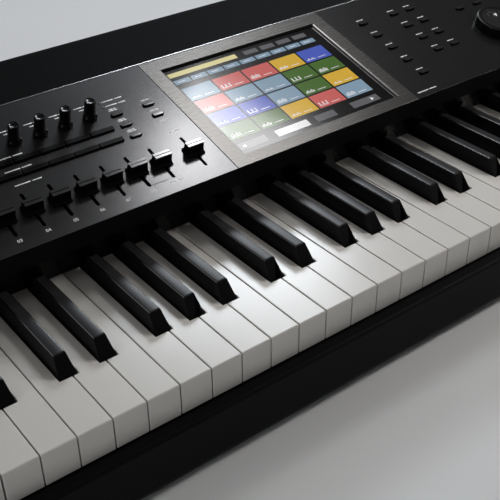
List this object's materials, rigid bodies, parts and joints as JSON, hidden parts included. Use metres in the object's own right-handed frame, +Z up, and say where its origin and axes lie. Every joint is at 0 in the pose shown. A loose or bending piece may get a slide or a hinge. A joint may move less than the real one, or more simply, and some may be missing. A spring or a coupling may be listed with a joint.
{
  "type": "keyboard workstation",
  "caption": "Long keyboard instrument with weighted keys, sloping control panel, touch display, knobs, sliders, buttons and a joystick.",
  "frame": {"origin": "centre of the instrument's outline, on the surface its feet stand on", "axes": "+X along the keys to the right, +Y from the key fronts to the back, +Z up"},
  "size_m": [1.238, 0.41, 0.1546],
  "materials": {
    "panel_metal": "satin dark grey paint with a fine brushed grain",
    "bezel_metal": "dark anodised, fine brushed",
    "painted_steel": "satin black paint",
    "case_plastic": "fine textured black",
    "gloss_black": "polished black",
    "ivory": "warm white, satin",
    "ebony": "matte black with a fine grain",
    "control_plastic": "polished black",
    "bare_steel": "plain sheet steel",
    "board_green": "solder-resist green",
    "rubber": "black rubber",
    "dark_glass": "black-bordered touch glass"
  },
  "bodies": {
    "instrument": {"bottom_plate": "painted_steel", "left_end_cheek": "case_plastic", "right_end_cheek": "case_plastic", "controller_block": "case_plastic", "right_key_block": "case_plastic", "key_slip": "case_plastic", "key_pivot_rail": "bare_steel", "key_contact_board": "board_green", "fallboard": "gloss_black", "left_control_panel": "panel_metal", "display_bezel": "bezel_metal", "right_control_panel": "panel_metal", "touch_glass": "dark_glass", "display_module": "bare_steel", "rear_deck": "case_plastic", "rear_panel": "painted_steel", "rear_rail": "painted_steel", "jack_bar": "control_plastic", "data_bar": "control_plastic", "power_bar": "control_plastic", "power_supply": "bare_steel", "main_board": "board_green", "rubber_foot_1": "rubber", "rubber_foot_2": "rubber", "rubber_foot_3": "rubber", "rubber_foot_4": "rubber"},
    "key_e": {"key_e": "ivory"},
    "key_f": {"key_f": "ivory"},
    "key_f_sharp": {"key_f_sharp": "ebony"},
    "key_g": {"key_g": "ivory"},
    "key_g_sharp": {"key_g_sharp": "ebony"},
    "key_set_cegb": {"key_set_cegb": "ivory"},
    "key_set_dfa": {"key_set_dfa": "ivory"},
    "key_set_sharps": {"key_set_sharps": "ebony"},
    "slider_1": {"slider_1": "control_plastic"},
    "slider_2": {"slider_2": "control_plastic"},
    "slider_3": {"slider_3": "control_plastic"},
    "slider_4": {"slider_4": "control_plastic"},
    "slider_5": {"slider_5": "control_plastic"},
    "slider_6": {"slider_6": "control_plastic"},
    "slider_7": {"slider_7": "control_plastic"},
    "slider_8": {"slider_8": "control_plastic"},
    "master_slider": {"master_slider": "control_plastic"},
    "value_slider": {"value_slider": "control_plastic"},
    "knob_1": {"knob_1": "control_plastic"},
    "knob_2": {"knob_2": "control_plastic"},
    "knob_3": {"knob_3": "control_plastic"},
    "knob_4": {"knob_4": "control_plastic"},
    "knob_5": {"knob_5": "control_plastic"},
    "knob_6": {"knob_6": "control_plastic"},
    "knob_7": {"knob_7": "control_plastic"},
    "knob_8": {"knob_8": "control_plastic"},
    "value_dial": {"value_dial": "control_plastic"},
    "power_switch": {"power_switch": "control_plastic"},
    "joystick_gimbal": {"joystick_gimbal": "bare_steel"},
    "joystick": {"joystick": "control_plastic"},
    "left_button_set": {"left_button_set": "rubber"},
    "right_button_set": {"right_button_set": "rubber"},
    "keypad_set": {"keypad_set": "rubber"},
    "controller_switches": {"controller_switches": "rubber"}
  },
  "joints": [
    {"name": "key_e_press", "type": "hinge", "parent": "instrument", "child": "key_e", "pos_m": [0, 0.0245, 0.0529], "axis": [1, 0, 0], "range_deg": [0, 2.63], "stiffness_Nm_per_rad": 0.3, "springref_deg": -34.38},
    {"name": "key_f_press", "type": "hinge", "parent": "instrument", "child": "key_f", "pos_m": [0, 0.0245, 0.0529], "axis": [1, 0, 0], "range_deg": [0, 2.63], "stiffness_Nm_per_rad": 0.3, "springref_deg": -34.38},
    {"name": "key_f_sharp_press", "type": "hinge", "parent": "instrument", "child": "key_f_sharp", "pos_m": [0, 0.0245, 0.0529], "axis": [1, 0, 0], "range_deg": [0, 2.63], "stiffness_Nm_per_rad": 0.2, "springref_deg": -34.38},
    {"name": "key_g_press", "type": "hinge", "parent": "instrument", "child": "key_g", "pos_m": [0, 0.0245, 0.0529], "axis": [1, 0, 0], "range_deg": [0, 2.63], "stiffness_Nm_per_rad": 0.3, "springref_deg": -34.38},
    {"name": "key_g_sharp_press", "type": "hinge", "parent": "instrument", "child": "key_g_sharp", "pos_m": [0, 0.0245, 0.0529], "axis": [1, 0, 0], "range_deg": [0, 2.63], "stiffness_Nm_per_rad": 0.2, "springref_deg": -34.38},
    {"name": "key_set_cegb_press", "type": "hinge", "parent": "instrument", "child": "key_set_cegb", "pos_m": [0, 0.0245, 0.0529], "axis": [1, 0, 0], "range_deg": [0, 2.63], "stiffness_Nm_per_rad": 6.5, "springref_deg": -34.38},
    {"name": "key_set_dfa_press", "type": "hinge", "parent": "instrument", "child": "key_set_dfa", "pos_m": [0, 0.0245, 0.0529], "axis": [1, 0, 0], "range_deg": [0, 2.63], "stiffness_Nm_per_rad": 4.8, "springref_deg": -34.38},
    {"name": "key_set_sharps_press", "type": "hinge", "parent": "instrument", "child": "key_set_sharps", "pos_m": [0, 0.0245, 0.0529], "axis": [1, 0, 0], "range_deg": [0, 2.63], "stiffness_Nm_per_rad": 4, "springref_deg": -34.38},
    {"name": "slider_1_slide", "type": "slide", "parent": "instrument", "child": "slider_1", "axis": [0, 0.9664, 0.2571], "range_m": [-0.015, 0.015]},
    {"name": "slider_2_slide", "type": "slide", "parent": "instrument", "child": "slider_2", "axis": [0, 0.9664, 0.2571], "range_m": [-0.015, 0.015]},
    {"name": "slider_3_slide", "type": "slide", "parent": "instrument", "child": "slider_3", "axis": [0, 0.9664, 0.2571], "range_m": [-0.015, 0.015]},
    {"name": "slider_4_slide", "type": "slide", "parent": "instrument", "child": "slider_4", "axis": [0, 0.9664, 0.2571], "range_m": [-0.015, 0.015]},
    {"name": "slider_5_slide", "type": "slide", "parent": "instrument", "child": "slider_5", "axis": [0, 0.9664, 0.2571], "range_m": [-0.015, 0.015]},
    {"name": "slider_6_slide", "type": "slide", "parent": "instrument", "child": "slider_6", "axis": [0, 0.9664, 0.2571], "range_m": [-0.015, 0.015]},
    {"name": "slider_7_slide", "type": "slide", "parent": "instrument", "child": "slider_7", "axis": [0, 0.9664, 0.2571], "range_m": [-0.015, 0.015]},
    {"name": "slider_8_slide", "type": "slide", "parent": "instrument", "child": "slider_8", "axis": [0, 0.9664, 0.2571], "range_m": [-0.015, 0.015]},
    {"name": "master_slider_slide", "type": "slide", "parent": "instrument", "child": "master_slider", "axis": [0, 0.9664, 0.2571], "range_m": [-0.015, 0.015]},
    {"name": "value_slider_slide", "type": "slide", "parent": "instrument", "child": "value_slider", "axis": [0, 0.9664, 0.2571], "range_m": [-0.015, 0.015]},
    {"name": "knob_1_turn", "type": "hinge", "parent": "instrument", "child": "knob_1", "pos_m": [-0.3519, 0.03604, 0.13686], "axis": [0, -0.2571, 0.9664], "range_deg": [-150, 150]},
    {"name": "knob_2_turn", "type": "hinge", "parent": "instrument", "child": "knob_2", "pos_m": [-0.3309, 0.03604, 0.13686], "axis": [0, -0.2571, 0.9664], "range_deg": [-150, 150]},
    {"name": "knob_3_turn", "type": "hinge", "parent": "instrument", "child": "knob_3", "pos_m": [-0.3099, 0.03604, 0.13686], "axis": [0, -0.2571, 0.9664], "range_deg": [-150, 150]},
    {"name": "knob_4_turn", "type": "hinge", "parent": "instrument", "child": "knob_4", "pos_m": [-0.2889, 0.03604, 0.13686], "axis": [0, -0.2571, 0.9664], "range_deg": [-150, 150]},
    {"name": "knob_5_turn", "type": "hinge", "parent": "instrument", "child": "knob_5", "pos_m": [-0.2679, 0.03604, 0.13686], "axis": [0, -0.2571, 0.9664], "range_deg": [-150, 150]},
    {"name": "knob_6_turn", "type": "hinge", "parent": "instrument", "child": "knob_6", "pos_m": [-0.2469, 0.03604, 0.13686], "axis": [0, -0.2571, 0.9664], "range_deg": [-150, 150]},
    {"name": "knob_7_turn", "type": "hinge", "parent": "instrument", "child": "knob_7", "pos_m": [-0.2259, 0.03604, 0.13686], "axis": [0, -0.2571, 0.9664], "range_deg": [-150, 150]},
    {"name": "knob_8_turn", "type": "hinge", "parent": "instrument", "child": "knob_8", "pos_m": [-0.2049, 0.03604, 0.13686], "axis": [0, -0.2571, 0.9664], "range_deg": [-150, 150]},
    {"name": "value_dial_turn", "type": "hinge", "parent": "instrument", "child": "value_dial", "pos_m": [0.2085, -0.01208, 0.12406], "axis": [0, -0.2571, 0.9664], "continuous": true},
    {"name": "power_switch_rock", "type": "hinge", "parent": "instrument", "child": "power_switch", "pos_m": [0.534, 0.1995, 0.062], "axis": [1, 0, 0], "range_deg": [-14, 0]},
    {"name": "joystick_left_right", "type": "hinge", "parent": "instrument", "child": "joystick_gimbal", "pos_m": [-0.538, -0.1215, 0.0632], "axis": [0, 1, 0], "range_deg": [-15, 15], "stiffness_Nm_per_rad": 0.05},
    {"name": "joystick_front_back", "type": "hinge", "parent": "joystick_gimbal", "child": "joystick", "pos_m": [-0.538, -0.1215, 0.0632], "axis": [1, 0, 0], "range_deg": [-15, 15], "stiffness_Nm_per_rad": 0.05},
    {"name": "left_button_set_press", "type": "slide", "parent": "instrument", "child": "left_button_set", "axis": [0, 0.2571, -0.9664], "range_m": [0, 0.0012], "stiffness_N_per_m": 800, "springref_m": -0.002},
    {"name": "right_button_set_press", "type": "slide", "parent": "instrument", "child": "right_button_set", "axis": [0, 0.2571, -0.9664], "range_m": [0, 0.0012], "stiffness_N_per_m": 2500, "springref_m": -0.002},
    {"name": "keypad_set_press", "type": "slide", "parent": "instrument", "child": "keypad_set", "axis": [0, 0.2571, -0.9664], "range_m": [0, 0.0012], "stiffness_N_per_m": 500, "springref_m": -0.002},
    {"name": "controller_switches_press", "type": "slide", "parent": "instrument", "child": "controller_switches", "axis": [0, 0, -1], "range_m": [0, 0.0012], "stiffness_N_per_m": 500, "springref_m": -0.002}
  ]
}
